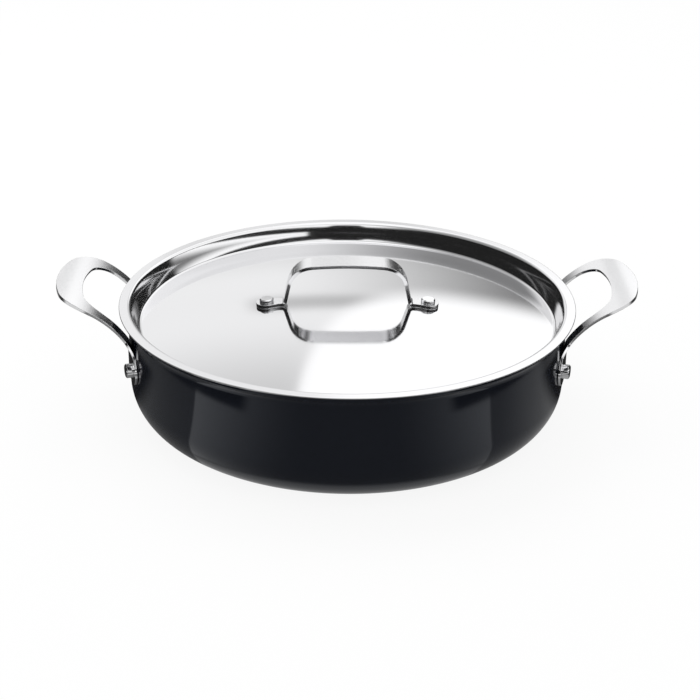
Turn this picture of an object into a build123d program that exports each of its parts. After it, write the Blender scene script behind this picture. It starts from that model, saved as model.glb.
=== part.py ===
"""Braiser: a wide, low pan with two loop handles and a lift-off lid with a strap handle.

Millimetres, +Z up. The origin is the centre of the face that the pan stands on, and the two loop
handles lie along X. The lid is modelled where it rests, on the rim of the pan.
"""
from build123d import *
from math import acos, asin, atan, atan2, cos, degrees, radians, sin, sqrt, tan
import os

# Pan shell, a pressed aluminium body with a flared rim
pan_radius = 151.0            # outside of the upright wall
pan_height = 81.8             # from the worktop to the highest line of the rim
wall = 3.0                    # thickness of the side
base_thickness = 5.0          # thickness of the bottom
corner_radius = 31.0          # outside of the bend between bottom and side
rim_overhang = 3.5            # how far the rim stands out past the side
flare_radius = 5.5            # outside of the flare below the rim
rim_edge_radius = 0.8         # rounding of the two edges of the rim's end face

# Steel disc let into the underside, for induction hobs
disc_margin = 12.0            # plain ring of aluminium between the disc and the corner bend
disc_thickness = 1.6
disc_proud = 0.4              # how far the disc stands below the aluminium
disc_edge_chamfer = 0.25
disc_seat_clearance = 0.15

# Lid shell, drawn from one sheet: domed disc, step wall, rounded shoulder and flat flange
lid_sheet = 1.0
lid_gap = 0.3                 # air between the rim and the flange
lid_overhang = 2.5            # how far the flange passes the rim
flange_width = 5.7
step_width = 9.3              # from the edge of the disc to the flange, measured level
dome_rise = 9.65              # height of the crown above the edge of the disc
step_slope = 70.0             # degrees that the step wall rises from level
step_foot_radius = 3.0        # middle of the sheet, where the disc turns up
shoulder_radius = 2.5         # middle of the sheet, where the wall turns into the flange
flange_edge_radius = 0.35

# Strap handle of the lid
strap_thickness = 2.5
strap_width = 17.8            # in the middle of the arch
strap_taper_start = 24.0      # from the middle of the lid to where the strap starts to narrow
strap_taper_share = 0.8       # share of the narrowing that its first, bulging arc takes
strap_neck_width = 9.6        # at the bottom of each leg
strap_foot_radius = 7.4       # round end of each foot
strap_rivet_offset = 55.8     # from the middle of the lid to each rivet
strap_foot_length = 12.4      # from each rivet back to where leg and foot would cross
arch_height = 30.6            # middle of the foot to middle of the arch, upright
leg_lean = 12.0               # degrees that each leg leans inwards
crown_slope = 5.0             # degrees that the arch falls away at each end of its top
arch_corner_radius = 18.0
foot_bend_radius = 2.6
strap_seat_gap = 0.08

# Loop handles of the pan, forged thicker at the grip than at the feet and bent up and out
grip_thickness = 2.6
leg_thickness = 1.7
handle_reach = 48.0           # from the side of the pan to the tip
grip_width = 17.5             # width of the plate at the tip
arm_width = 9.3
opening_half = 37.0           # half the clear width between the arms
foot_radius = 10.1            # round end of each foot
foot_flare = 28.0             # degrees that the outer edge of each leg spreads towards its foot
rivet_height = 49.4           # of the rivets above the worktop
foot_rise = 10.4              # from the rivet to where the leg starts to lean out
lower_bend_radius = 16.65     # middle of the plate
arm_slope = 56.0              # degrees above level, between the two bends
upper_bend_radius = 67.3      # top face of the plate
grip_slope = 7.0              # degrees above level, at the tip
outer_tip_radius = 95.0
outer_corner_radius = 24.0
inner_tip_radius = 110.0
inner_corner_radius = 17.0
handle_seat_gap = 0.08
leg_stations = 4              # cross-sections through the turn between arm and foot

# Rivets: a low domed head, a shank through both walls, and a round bevelled end
head_rim_share = 0.3          # upright rim of a head, as a share of its height
shank_clearance = 0.05
rivet_seat_gap = 0.05
pan_rivet_shank_radius = 3.0
pan_rivet_head_radius = 6.5
pan_rivet_head_height = 1.9
pan_rivet_end_radius = 4.9
pan_rivet_end_length = 4.5
pan_rivet_bevel = 0.7
lid_rivet_shank_radius = 2.5
lid_rivet_head_radius = 4.6
lid_rivet_head_height = 1.3
lid_rivet_end_radius = 4.9
lid_rivet_end_length = 2.6
lid_rivet_bevel = 0.7

cut_overrun = 20.0            # how far cutting tools pass the faces they cut

# Places that follow from the sizes above
shell_bottom = disc_proud
rim_radius = pan_radius + rim_overhang
inner_radius = pan_radius - wall
flare_centre = pan_radius + flare_radius
flare_level = pan_height - rim_edge_radius - sqrt(
    (flare_radius + wall - rim_edge_radius) ** 2 - (flare_radius - rim_overhang + rim_edge_radius) ** 2)
flat_radius = pan_radius - corner_radius
disc_radius = flat_radius - disc_margin
lid_radius = rim_radius + lid_overhang
flange_start = lid_radius - flange_width
flange_level = pan_height + lid_gap + lid_sheet / 2
dome_edge = flange_start - step_width
dome_radius = (dome_edge ** 2 + dome_rise ** 2) / (2 * dome_rise)
bend_height = rivet_height + foot_rise
strap_leg_offset = strap_rivet_offset - strap_foot_length
foot_plane_radius = pan_radius + handle_seat_gap + leg_thickness / 2
foot_angle = degrees(asin(opening_half / sqrt(foot_plane_radius ** 2 + foot_radius ** 2))
                     + atan(foot_radius / foot_plane_radius))
handle_tip = pan_radius + handle_reach


def heading_vector(angle):
    """Unit vector at an angle in degrees, from level towards up."""
    return Vector(cos(radians(angle)), sin(radians(angle)))


def walk(start, heading, run):
    """End point and heading after one run of a middle line: ("line", length) or ("bend", radius, turn)."""
    if run[0] == "line":
        return start + heading_vector(heading) * run[1], heading
    radius, turn = run[1], run[2]
    side = 1 if turn > 0 else -1
    centre = start + heading_vector(heading + 90 * side) * radius
    return centre + heading_vector(heading + turn - 90 * side) * radius, heading + turn


def half_run(run, part):
    """The first part, as a share, of a run."""
    if run[0] == "line":
        return ("line", run[1] * part)
    return ("bend", run[1], run[2] * part)


def ribbon(start, heading, runs, thickness):
    """Face of a bent strip of one thickness. The runs follow its middle line and meet without a corner."""
    offset_to = {1: [], -1: []}
    point = Vector(*start)
    for run in runs:
        middle, middle_heading = walk(point, heading, half_run(run, 0.5))
        end, end_heading = walk(point, heading, run)
        for side, edges in offset_to.items():
            ends = [at + heading_vector(towards + 90) * (side * thickness / 2)
                    for at, towards in ((point, heading), (middle, middle_heading), (end, end_heading))]
            edges.append(Line(ends[0], ends[2]) if run[0] == "line" else ThreePointArc(*ends))
        point, heading = end, end_heading
    caps = [Line(offset_to[1][i] @ i_end, offset_to[-1][i] @ i_end) for i, i_end in ((0, 0), (-1, 1))]
    return make_face(offset_to[1] + offset_to[-1] + caps)


def spin(profile):
    """Solid of revolution about the upright axis, from a face drawn as radius and height."""
    return revolve(Plane.XZ * profile, Axis.Z)


def rivet(head_radius, head_height, shank_radius, grip, end_radius, end_length, bevel):
    """Rivet along +Z: domed head below zero, shank from zero to the grip, round bevelled end above it."""
    head_rim = head_height * head_rim_share
    outline = [
        TangentArc((0, -head_height), (head_radius, -head_rim), tangent=(1, 0)),
        Polyline(
            (head_radius, -head_rim),
            (head_radius, 0),
            (shank_radius, 0),
            (shank_radius, grip),
            (end_radius, grip),
            (end_radius, grip + end_length - bevel),
            (end_radius - bevel, grip + end_length),
            (0, grip + end_length),
            (0, -head_height)),
    ]
    return spin(make_face(outline))


def foot_plane(side):
    """Plane of one handle foot against the side of the pan, at the height of its rivet.

    Its normal points straight out of the pan, its y is up, and side is -1 for the front foot.
    """
    angle = side * radians(foot_angle)
    outward = (cos(angle), sin(angle), 0)
    sideways = (-sin(angle), cos(angle), 0)
    origin = Vector(*outward) * foot_plane_radius + Vector(0, 0, rivet_height)
    return Plane(origin=origin, x_dir=sideways, z_dir=outward)


def make_pan_body():
    """Shell of the pan: one profile turned about Z, a seat for the steel disc and four rivet holes."""
    bend = corner_radius - wall
    lower_rim = flare_level + sqrt(flare_radius ** 2 - (flare_radius - rim_overhang) ** 2)
    upper_rim = flare_level + sqrt((flare_radius + wall) ** 2 - (flare_radius - rim_overhang) ** 2)
    floor_level = shell_bottom + base_thickness
    rim_angle = acos((flare_radius - rim_overhang) / flare_radius) / 2
    lip_angle = acos((flare_radius - rim_overhang) / (flare_radius + wall)) / 2
    outline = [
        Line((0, shell_bottom), (flat_radius, shell_bottom)),
        RadiusArc((flat_radius, shell_bottom), (pan_radius, shell_bottom + corner_radius), -corner_radius),
        Line((pan_radius, shell_bottom + corner_radius), (pan_radius, flare_level)),
        ThreePointArc(
            (pan_radius, flare_level),
            (flare_centre - flare_radius * cos(rim_angle), flare_level + flare_radius * sin(rim_angle)),
            (rim_radius, lower_rim)),
        Line((rim_radius, lower_rim), (rim_radius, upper_rim)),
        ThreePointArc(
            (rim_radius, upper_rim),
            (flare_centre - (flare_radius + wall) * cos(lip_angle),
             flare_level + (flare_radius + wall) * sin(lip_angle)),
            (inner_radius, flare_level)),
        Line((inner_radius, flare_level), (inner_radius, floor_level + bend)),
        RadiusArc((inner_radius, floor_level + bend), (inner_radius - bend, floor_level), bend),
        Polyline((inner_radius - bend, floor_level), (0, floor_level), (0, shell_bottom)),
    ]
    profile = make_face(outline)
    profile = fillet(profile.vertices().group_by(Axis.X)[-1], rim_edge_radius)
    body = spin(profile)
    seat_depth = disc_thickness - disc_proud
    body -= Pos(0, 0, shell_bottom) * Cylinder(
        disc_radius + disc_seat_clearance, seat_depth,
        align=(Align.CENTER, Align.CENTER, Align.MIN))
    for turn in (0, 180):
        for side in (-1, 1):
            hole = foot_plane(side) * Cylinder(pan_rivet_shank_radius + shank_clearance, cut_overrun)
            body -= Rot(0, 0, turn) * hole
    return body


def make_base_disc():
    """Steel disc that fills the seat in the underside and that the pan stands on."""
    disc = Cylinder(disc_radius, disc_thickness, align=(Align.CENTER, Align.CENTER, Align.MIN))
    return chamfer(disc.edges().group_by(Axis.Z)[0], disc_edge_chamfer)


def corner_centre(tip_x, half_width, tip_radius, corner):
    """Distance along X of the centre of an outline's corner arc, which touches the tip arc and the side."""
    return tip_x - tip_radius + sqrt((tip_radius - corner) ** 2 - (half_width - corner) ** 2)


def loop_outline(tip_x, half_width, tip_radius, corner, start_x):
    """Plan of the loop on one side of a line: two straight sides, two corner arcs and a flat tip arc."""
    tip_centre = tip_x - tip_radius
    corner_x = corner_centre(tip_x, half_width, tip_radius, corner)
    meet = atan2(half_width - corner, corner_x - tip_centre)
    middle = (meet + radians(90)) / 2
    edges = [ThreePointArc(
        (tip_centre + tip_radius * cos(meet), -tip_radius * sin(meet)),
        (tip_x, 0),
        (tip_centre + tip_radius * cos(meet), tip_radius * sin(meet)))]
    for side in (1, -1):
        edges.append(ThreePointArc(
            (tip_centre + tip_radius * cos(meet), side * tip_radius * sin(meet)),
            (corner_x + corner * cos(middle), side * (half_width - corner + corner * sin(middle))),
            (corner_x, side * half_width)))
        edges.append(Line((corner_x, side * half_width), (start_x, side * half_width)))
    edges.append(Line((start_x, half_width), (start_x, -half_width)))
    return make_face(edges)


def leg_base(share):
    """Middle of a front leg in plan before it leans out. Share is 0 at the arm and 1 at the foot plane."""
    plane = foot_plane(-1)
    arm_y = -(opening_half + arm_width / 2)
    arm_local = (arm_y - plane.origin.Y) / plane.x_dir.Y
    arm_point = plane.origin + plane.x_dir * arm_local
    foot_point = plane.origin + plane.x_dir * (foot_radius - leg_width_at_bend() / 2)
    return arm_point * (1 - share) + foot_point * share


def leg_width_at_bend():
    """Width of a leg where it starts to lean out, set by the spread of its outer edge."""
    flare = radians(foot_flare)
    rise = bend_height - rivet_height - foot_radius * sin(flare)
    return foot_radius + foot_radius * cos(flare) - rise * tan(flare)


def leg_section(share):
    """Cross-section of a front leg: share 0 is square to the arm, share 1 lies level in the foot plane."""
    slope = radians(arm_slope + (90 - arm_slope) * share)
    twist = radians(foot_angle) * share
    base = leg_base(share)
    centre = Vector(
        base.X + lower_bend_radius * (1 - sin(slope)),
        base.Y,
        bend_height + lower_bend_radius * cos(slope))
    along = Vector(cos(slope) * cos(twist), -cos(slope) * sin(twist), sin(slope))
    sideways = Vector(sin(twist), cos(twist), 0)
    width = arm_width + (leg_width_at_bend() - arm_width) * share
    return Plane(origin=centre, x_dir=sideways, z_dir=along) * Rectangle(width, leg_thickness)


def make_front_leg():
    """Front leg of a loop: the twisting turn out of the arm, and the flat foot against the pan."""
    turn = loft([leg_section(i / (leg_stations - 1)) for i in range(leg_stations)])
    flare = radians(foot_flare)
    top = bend_height - rivet_height
    touch = (-foot_radius * cos(flare), foot_radius * sin(flare))
    outline = [
        Line((foot_radius, top), (foot_radius, 0)),
        ThreePointArc(
            (foot_radius, 0),
            (-foot_radius * sin(flare / 2), -foot_radius * cos(flare / 2)),
            touch),
        Polyline(touch, (foot_radius - leg_width_at_bend(), top), (foot_radius, top)),
    ]
    foot = extrude(foot_plane(-1) * make_face(outline), leg_thickness / 2, both=True)
    leg = turn + foot
    return leg - foot_plane(-1) * Cylinder(pan_rivet_shank_radius + shank_clearance, cut_overrun)


def loop_profile():
    """Side view of the plate between the turn of its legs and its tip, thickening towards the grip.

    The top and bottom faces are each an arc and a straight. The bottom arc's radius follows from the
    two thicknesses: it has to bring the bottom face parallel to the top one at the grip's thickness.
    """
    slope = radians(arm_slope)
    turn = grip_slope - arm_slope
    middle = Vector(
        leg_base(0).X + lower_bend_radius * (1 - sin(slope)),
        bend_height + lower_bend_radius * cos(slope))
    across = heading_vector(arm_slope + 90)
    fall = 1 - cos(radians(turn))
    bottom_radius = upper_bend_radius - (grip_thickness - leg_thickness * (1 - fall)) / fall
    edges = []
    ends = []
    for side, radius in ((1, upper_bend_radius), (-1, bottom_radius)):
        start = middle + across * (side * leg_thickness / 2)
        halfway, _ = walk(start, arm_slope, ("bend", radius, turn / 2))
        bend_end, heading = walk(start, arm_slope, ("bend", radius, turn))
        past_tip = (handle_tip + grip_thickness - bend_end.X) / cos(radians(heading))
        end, _ = walk(bend_end, heading, ("line", past_tip))
        edges += [ThreePointArc(start, halfway, bend_end), Line(bend_end, end)]
        ends.append((start, end))
    caps = [Line(ends[0][i], ends[1][i]) for i in (0, 1)]
    return make_face(edges + caps)


def make_side_handle():
    """Loop handle on the +X side: a bent plate cut to its outline in plan, and two legs."""
    outer_half = opening_half + arm_width
    plate = extrude(Plane.XZ * loop_profile(), outer_half + grip_thickness, both=True)
    start = leg_base(0).X - grip_thickness
    plan = loop_outline(handle_tip, outer_half, outer_tip_radius, outer_corner_radius, start)
    plan -= loop_outline(
        handle_tip - grip_width, opening_half, inner_tip_radius, inner_corner_radius,
        start - grip_thickness)
    plate &= extrude(plan, pan_height * 2)
    front_leg = make_front_leg()
    return plate + front_leg + mirror(front_leg, Plane.XZ)


def make_lid_profile():
    """Half section of the lid sheet, from the crown out to the flange, as radius and height."""
    edge_turn = asin(dome_edge / dome_radius)
    slope = radians(step_slope)
    foot_run = step_foot_radius * (sin(slope) + sin(edge_turn))
    wall_length = (step_width - foot_run - shoulder_radius * sin(slope)) / cos(slope)
    rise = (step_foot_radius * (cos(edge_turn) - cos(slope)) + wall_length * sin(slope)
            + shoulder_radius * (1 - cos(slope)))
    crown = flange_level - rise + dome_radius * (1 - cos(edge_turn))
    strip = ribbon(
        (0, crown), 0,
        [
            ("bend", dome_radius, -degrees(edge_turn)),
            ("bend", step_foot_radius, degrees(edge_turn) + step_slope),
            ("line", wall_length),
            ("bend", shoulder_radius, -step_slope),
            ("line", flange_width),
        ],
        lid_sheet)
    return strip, crown


def strap_foot_place(crown):
    """Distance out, height and tilt in degrees of the middle of the strap where its right rivet goes through."""
    reach = dome_radius + lid_sheet / 2 + strap_seat_gap + strap_thickness / 2
    tilt = asin(strap_rivet_offset / reach)
    return strap_rivet_offset, crown - dome_radius + reach * cos(tilt), degrees(tilt)


def strap_rivet_plane(crown, side):
    """Plane across the right (1) or left (-1) foot of the strap, with its normal up out of the lid."""
    out, height, tilt = strap_foot_place(crown)
    normal = (side * sin(radians(tilt)), 0, cos(radians(tilt)))
    along = (cos(radians(tilt)), 0, -side * sin(radians(tilt)))
    return Plane(origin=(side * out, 0, height), x_dir=along, z_dir=normal)


def make_lid_shell(strip, crown):
    """Lid sheet turned about Z, with its flange edge rounded and two rivet holes."""
    profile = fillet(strip.vertices().group_by(Axis.X)[-1], flange_edge_radius)
    shell = spin(profile)
    hole_radius = lid_rivet_shank_radius + shank_clearance
    for side in (-1, 1):
        shell -= strap_rivet_plane(crown, side) * Cylinder(hole_radius, cut_overrun)
    return shell


def strap_quarter():
    """Quarter of the strap's plan: a long taper, a waist at the bend, and a round foot about the rivet."""
    half = strap_width / 2
    neck = strap_neck_width / 2
    neck_x = strap_leg_offset + foot_bend_radius / 2
    foot_to_neck = strap_rivet_offset - neck_x
    waist_radius = (foot_to_neck ** 2 + neck ** 2 - strap_foot_radius ** 2) / (2 * (strap_foot_radius - neck))
    waist_centre = Vector(neck_x, neck + waist_radius)
    foot_centre = Vector(strap_rivet_offset, 0)
    towards = (waist_centre - foot_centre).normalized()
    touch = foot_centre + towards * strap_foot_radius
    waist_turn = asin((touch.X - neck_x) / waist_radius) / 2
    waist_middle = waist_centre + Vector(sin(waist_turn), -cos(waist_turn)) * waist_radius
    foot_turn = atan2(towards.Y, towards.X) / 2
    foot_middle = foot_centre + Vector(cos(foot_turn), sin(foot_turn)) * strap_foot_radius
    foot_end = (strap_rivet_offset + strap_foot_radius, 0)
    taper_turn = 2 * atan((half - neck) / (neck_x - strap_taper_start))
    taper_radius = (neck_x - strap_taper_start) / sin(taper_turn) * strap_taper_share
    neck_radius = taper_radius / strap_taper_share - taper_radius
    taper_end = Vector(
        strap_taper_start + taper_radius * sin(taper_turn),
        half - taper_radius * (1 - cos(taper_turn)))
    taper_middle = Vector(
        strap_taper_start + taper_radius * sin(taper_turn / 2),
        half - taper_radius * (1 - cos(taper_turn / 2)))
    neck_middle = Vector(
        neck_x - neck_radius * sin(taper_turn / 2),
        neck + neck_radius * (1 - cos(taper_turn / 2)))
    return make_face([
        Line((0, half), (strap_taper_start, half)),
        ThreePointArc((strap_taper_start, half), taper_middle, taper_end),
        ThreePointArc(taper_end, neck_middle, (neck_x, neck)),
        ThreePointArc((neck_x, neck), waist_middle, touch),
        ThreePointArc(touch, foot_middle, foot_end),
        Polyline(foot_end, (0, 0), (0, half)),
    ])


def make_lid_handle(crown):
    """Strap handle: a bent ribbon of one thickness, cut to its outline in plan, with two rivet holes."""
    foot_x, foot_z, tilt = strap_foot_place(crown)
    leg_heading = 90 - leg_lean
    rise_angle = radians(leg_heading)
    corner_turn = leg_heading - crown_slope
    bend_turn = leg_heading - tilt
    setback = foot_bend_radius * tan(radians(bend_turn / 2))
    cross_z = foot_z + (foot_x - strap_leg_offset) * sin(radians(tilt))
    corner_run = arch_corner_radius * (sin(rise_angle) - sin(radians(crown_slope)))
    corner_rise = arch_corner_radius * (cos(radians(crown_slope)) - cos(rise_angle))
    leg_rise = (foot_z + arch_height) - cross_z
    crown_share = (1 - cos(radians(crown_slope))) / sin(radians(crown_slope))
    # The crown arc spans what the leg and the corner leave: its rise is its half span times crown_share.
    leg_length = ((leg_rise - corner_rise - (strap_leg_offset - corner_run) * crown_share)
                  / (sin(rise_angle) - cos(rise_angle) * crown_share))
    crown_half = strap_leg_offset - corner_run - leg_length * cos(rise_angle)
    crown_radius = crown_half / sin(radians(crown_slope))
    foot_length = foot_x + strap_foot_radius + strap_thickness - strap_leg_offset - setback
    start = (
        -strap_leg_offset - (setback + foot_length) * cos(radians(tilt)),
        cross_z - (setback + foot_length) * sin(radians(tilt)))
    half = [
        ("line", foot_length),
        ("bend", foot_bend_radius, bend_turn),
        ("line", leg_length - setback),
        ("bend", arch_corner_radius, -corner_turn),
    ]
    runs = half + [("bend", crown_radius, -2 * crown_slope)] + half[::-1]
    strip = ribbon(start, tilt, runs, strap_thickness)
    strap = extrude(Plane.XZ * strip, strap_width, both=True)
    quarter = strap_quarter()
    plan = quarter + mirror(quarter, Plane.XZ)
    plan += mirror(plan, Plane.YZ)
    top = foot_z + arch_height + strap_thickness
    strap &= extrude(plan, top)
    hole_radius = lid_rivet_shank_radius + shank_clearance
    for side in (-1, 1):
        strap -= strap_rivet_plane(crown, side) * Cylinder(hole_radius, strap_thickness * 2)
    return strap


def make_pan_rivet():
    """Rivet of a loop handle, placed for the front foot of the +X handle."""
    head_seat = sqrt(inner_radius ** 2 - pan_rivet_head_radius ** 2) - rivet_seat_gap
    grip = foot_plane_radius + leg_thickness / 2 + rivet_seat_gap - head_seat
    body = rivet(
        pan_rivet_head_radius, pan_rivet_head_height, pan_rivet_shank_radius, grip,
        pan_rivet_end_radius, pan_rivet_end_length, pan_rivet_bevel)
    return foot_plane(-1) * Pos(0, 0, head_seat - foot_plane_radius) * body


def make_lid_rivet(crown, side):
    """Rivet of the strap handle, through the strap's foot and the lid sheet."""
    below = strap_thickness / 2 + strap_seat_gap + lid_sheet + rivet_seat_gap
    grip = below + strap_thickness / 2 + rivet_seat_gap
    body = rivet(
        lid_rivet_head_radius, lid_rivet_head_height, lid_rivet_shank_radius, grip,
        lid_rivet_end_radius, lid_rivet_end_length, lid_rivet_bevel)
    return strap_rivet_plane(crown, side) * Pos(0, 0, -below) * body


strip, crown = make_lid_profile()
right_handle = make_side_handle()
right_front_rivet = make_pan_rivet()
right_back_rivet = mirror(right_front_rivet, Plane.XZ)

nodes = {
    "pan_body": make_pan_body(),
    "base_disc": make_base_disc(),
    "side_handle_right": right_handle,
    "side_handle_left": mirror(right_handle, Plane.YZ),
    "handle_rivet_right_front": right_front_rivet,
    "handle_rivet_right_back": right_back_rivet,
    "handle_rivet_left_front": mirror(right_front_rivet, Plane.YZ),
    "handle_rivet_left_back": mirror(right_back_rivet, Plane.YZ),
    "lid_shell": make_lid_shell(strip, crown),
    "lid_handle": make_lid_handle(crown),
    "lid_rivet_left": make_lid_rivet(crown, -1),
    "lid_rivet_right": make_lid_rivet(crown, 1),
}

os.makedirs("parts", exist_ok=True)
for name, shape in nodes.items():
    export_step(shape, f"parts/{name}.step")
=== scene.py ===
"""Braiser with a dished steel lid: fine surfaces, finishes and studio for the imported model."""
import math

import bmesh
import bpy
import numpy as np
from bpy.props import FloatProperty, FloatVectorProperty, PointerProperty
from mathutils import Matrix, Vector


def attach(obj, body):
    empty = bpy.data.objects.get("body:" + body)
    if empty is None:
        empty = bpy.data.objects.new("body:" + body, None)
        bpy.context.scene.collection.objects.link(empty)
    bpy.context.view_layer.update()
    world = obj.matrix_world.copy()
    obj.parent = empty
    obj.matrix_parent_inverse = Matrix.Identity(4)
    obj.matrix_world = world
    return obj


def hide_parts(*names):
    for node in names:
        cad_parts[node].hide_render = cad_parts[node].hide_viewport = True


bl_info = {
    "name": "Braiser",
    "version": (1, 0, 0),
    "blender": (4, 5, 0),
    "location": "View3D > Sidebar > Braiser",
    "description": "Builds a lidded braiser with steel loop handles, its finishes and a studio",
    "category": "Object",
}

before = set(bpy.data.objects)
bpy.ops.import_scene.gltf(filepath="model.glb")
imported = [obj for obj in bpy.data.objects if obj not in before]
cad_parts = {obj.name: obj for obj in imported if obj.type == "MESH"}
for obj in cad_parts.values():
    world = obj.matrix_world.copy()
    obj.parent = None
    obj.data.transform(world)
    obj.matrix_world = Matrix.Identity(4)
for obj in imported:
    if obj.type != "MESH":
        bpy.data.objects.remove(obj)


# ---------------------------------------------------------------------------------------------
# Sizes and colours

def length(name, metres, description):
    """A size in metres that the sidebar can show and change."""
    return FloatProperty(
        name=name, description=description, default=metres, min=0.0, unit="LENGTH", precision=5)


def angle(name, degrees, description):
    """An angle that is written here in degrees."""
    return FloatProperty(
        name=name, description=description, default=math.radians(degrees), subtype="ANGLE")


def share(name, value, description):
    """A part of a whole, between nothing and all of it."""
    return FloatProperty(
        name=name, description=description, default=value, min=0.0, max=1.0, subtype="FACTOR")


def colour(name, value, description):
    """A linear colour."""
    return FloatVectorProperty(
        name=name, description=description, default=value, size=3, min=0.0, max=1.0,
        subtype="COLOR")


class PanSizes(bpy.types.PropertyGroup):
    """Sizes of the pan and of the steel disc under it."""
    radius: length("Radius", 0.151, "Outside of the upright wall")
    height: length("Height", 0.0818, "From the ground to the top of the rim")
    wall: length("Wall", 0.003, "Thickness of the wall")
    base: length("Base", 0.005, "Thickness of the base")
    corner: length("Corner", 0.031, "Outside radius between base and wall")
    rim_overhang: length("Rim overhang", 0.0035, "How far the rim stands out past the wall")
    flare: length("Flare", 0.0055, "Radius under the rim")
    rim_rounding: length("Rim rounding", 0.0008, "Rounding of the rim's two edges")
    disc_margin: length("Disc margin", 0.012, "From the corner's start in to the steel disc")
    disc_thickness: length("Disc thickness", 0.0016, "Thickness of the steel disc")
    disc_proud: length("Disc proud", 0.0004, "How far the disc stands below the pan")
    disc_rounding: length("Disc rounding", 0.00025, "Rounding of the disc's lower edge")
    seat_clearance: length("Seat clearance", 0.00015, "Gap round the disc in its seat")


class LidSizes(bpy.types.PropertyGroup):
    """Sizes of the dished lid."""
    sheet: length("Sheet", 0.001, "Thickness of the sheet")
    gap: length("Gap", 0.0003, "Gap between the flange and the pan's rim")
    overhang: length("Overhang", 0.0025, "How far the lid stands out past the rim")
    flange: length("Flange", 0.0057, "Width of the flat flange")
    step: length("Step", 0.0093, "Width of the step down from the flange to the dome")
    dome_rise: length("Dome rise", 0.00965, "How far the middle of the dome stands above its edge")
    step_slope: angle("Step slope", 68.5, "Mean slope of the step above level")
    step_bow: angle("Step bow", 3.5, "How much steeper the step is halfway than its mean slope")
    step_foot: length("Step foot", 0.00275, "Radius at the bottom of the step, middle of the sheet")
    shoulder: length("Shoulder", 0.0024, "Radius at the top of the step, middle of the sheet")
    rounding: length("Edge rounding", 0.00035, "Rounding of the flange's edges")


class StrapSizes(bpy.types.PropertyGroup):
    """Sizes of the arched strap handle on the lid."""
    thickness: length("Thickness", 0.0025, "Thickness of the strap")
    width: length("Width", 0.0178, "Width in the middle of the arch")
    taper_start: length("Taper start", 0.024, "From the middle to where the strap starts to narrow")
    taper_share: share("Taper share", 0.8, "Share of the narrowing that its first arc takes")
    neck_width: length("Neck width", 0.0096, "Width at the bottom of each leg")
    foot_radius: length("Foot radius", 0.0074, "Round end of each foot")
    rivet_offset: length("Rivet offset", 0.0558, "From the middle of the lid to each rivet")
    foot_length: length("Foot length", 0.0124, "From the rivet back to where leg and foot cross")
    arch_height: length("Arch height", 0.0306, "From the feet to the top of the arch, mid-strap")
    leg_lean: angle("Leg lean", 12.0, "How far each leg leans in from upright")
    crown_slope: angle("Crown slope", 5.0, "Slope of the arch's long top where its corners start")
    corner: length("Corner", 0.018, "Radius of the arch's corners, middle of the strap")
    foot_bend: length("Foot bend", 0.0026, "Radius between leg and foot, middle of the strap")
    seat_gap: length("Seat gap", 0.00008, "Air gap under each foot")
    rounding: length("Edge rounding", 0.00012, "Rounding of all edges")


class LoopSizes(bpy.types.PropertyGroup):
    """Sizes of the loop handles at both ends of the pan."""
    grip_thickness: length("Grip thickness", 0.0026, "Thickness of the plate at the grip")
    leg_thickness: length("Leg thickness", 0.0017, "Thickness of the legs and feet")
    reach: length("Reach", 0.048, "From the pan's wall to the tip")
    grip_width: length("Grip width", 0.0175, "Width of the plate at the tip")
    arm_width: length("Arm width", 0.0093, "Width of each arm")
    opening_half: length("Half opening", 0.037, "Half the gap between the arms")
    foot_radius: length("Foot radius", 0.0101, "Round end of each foot")
    foot_flare: angle("Foot flare", 28.0, "Lean of a foot's outer edge")
    rivet_height: length("Rivet height", 0.0494, "From the ground to the rivets")
    foot_rise: length("Foot rise", 0.0104, "From the rivet to where the leg starts to lean out")
    lower_bend: length("Lower bend", 0.01665, "Radius between foot and arm, middle of the plate")
    arm_slope: angle("Arm slope", 56.0, "Slope above level between the two bends")
    upper_bend: length("Upper bend", 0.0673, "Radius between arm and grip, top face")
    grip_slope: angle("Grip slope", 7.0, "Slope above level at the tip")
    outer_tip: length("Outer tip", 0.095, "Radius of the outline's flat tip")
    outer_corner: length("Outer corner", 0.024, "Radius of the outline's corners")
    inner_tip: length("Inner tip", 0.110, "Radius of the opening's flat end")
    inner_corner: length("Inner corner", 0.017, "Radius of the opening's corners")
    seat_gap: length("Seat gap", 0.00008, "Air gap behind each foot")
    rounding: length("Edge rounding", 0.00018, "Rounding of all edges")


class RivetSizes(bpy.types.PropertyGroup):
    """Sizes of the rivets, those of the pan first."""
    seat_gap: length("Seat gap", 0.00005, "Air gap under a head")
    rim_share: share("Head rim", 0.3, "Upright rim of a head, as a share of its height")
    rounding: length("Edge rounding", 0.00022, "Rounding of a rivet's edges")
    pan_shank: length("Pan shank", 0.003, "Radius of a shank in the pan's wall")
    pan_head: length("Pan head", 0.0065, "Radius of a head inside the pan")
    pan_head_height: length("Pan head height", 0.0019, "Height of a head inside the pan")
    pan_end: length("Pan end", 0.0049, "Radius of a round end outside the pan")
    pan_end_length: length("Pan end length", 0.0045, "How far a round end stands out")
    pan_bevel: length("Pan bevel", 0.0007, "Bevel of a round end")
    lid_shank: length("Lid shank", 0.0025, "Radius of a shank in the lid")
    lid_head: length("Lid head", 0.0046, "Radius of a head under the lid")
    lid_head_height: length("Lid head height", 0.0013, "Height of a head under the lid")
    lid_end: length("Lid end", 0.0049, "Radius of a round end on the lid")
    lid_end_length: length("Lid end length", 0.0026, "How far a round end stands up")
    lid_bevel: length("Lid bevel", 0.0007, "Bevel of a round end")


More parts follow.
